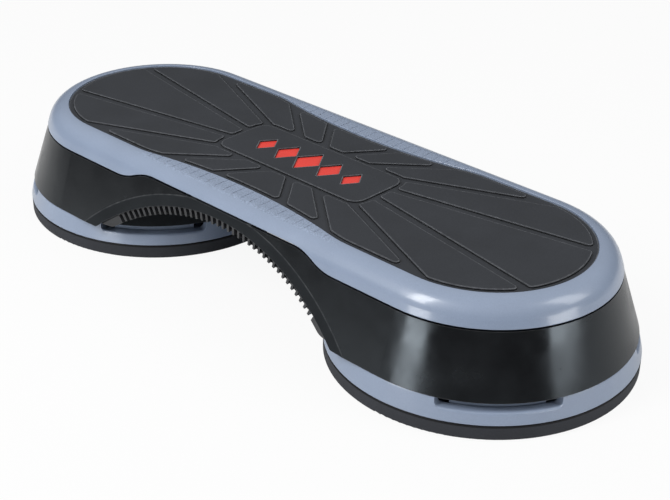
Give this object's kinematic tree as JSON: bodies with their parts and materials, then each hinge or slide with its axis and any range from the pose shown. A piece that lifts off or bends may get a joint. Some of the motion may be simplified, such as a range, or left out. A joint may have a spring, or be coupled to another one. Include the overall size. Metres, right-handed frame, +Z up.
{
  "type": "aerobic step platform",
  "caption": "Low exercise step: a waisted, ray-grooved rubber mat on a rounded deck, over an arched body whose round ends stand on lift-off risers with rubber feet.",
  "frame": {"origin": "on the floor, midway between the two round ends", "axes": "+X along the platform, +Y across it to the rear side, +Z up"},
  "size_m": [0.763, 0.3, 0.12],
  "materials": {
    "deck_plastic": "satin",
    "body_plastic": "satin black",
    "mat_rubber": "matte",
    "foot_rubber": "matte",
    "badge_red": "satin",
    "screw_steel": "zinc"
  },
  "bodies": {
    "left_riser": {"left_riser": "deck_plastic", "left_foot_ring": "foot_rubber", "left_foot_screws": "screw_steel"},
    "platform": {"body_shell": "body_plastic", "deck_cover": "deck_plastic", "tread_mat": "mat_rubber", "badge_inlay": "badge_red", "front_grip_strip": "body_plastic", "rear_grip_strip": "body_plastic", "deck_screws": "screw_steel"},
    "right_riser": {"right_riser": "deck_plastic", "right_foot_ring": "foot_rubber", "right_foot_screws": "screw_steel"}
  },
  "joints": [
    {"name": "platform_lift", "type": "slide", "parent": "left_riser", "child": "platform", "axis": [0, 0, 1], "range_m": [0, 0.06]},
    {"name": "right_riser_drop", "type": "slide", "parent": "platform", "child": "right_riser", "axis": [0, 0, -1], "range_m": [0, 0.06]}
  ],
  "couplings": [
    {"joint": "right_riser_drop", "follows": "platform_lift", "ratio": 1}
  ]
}
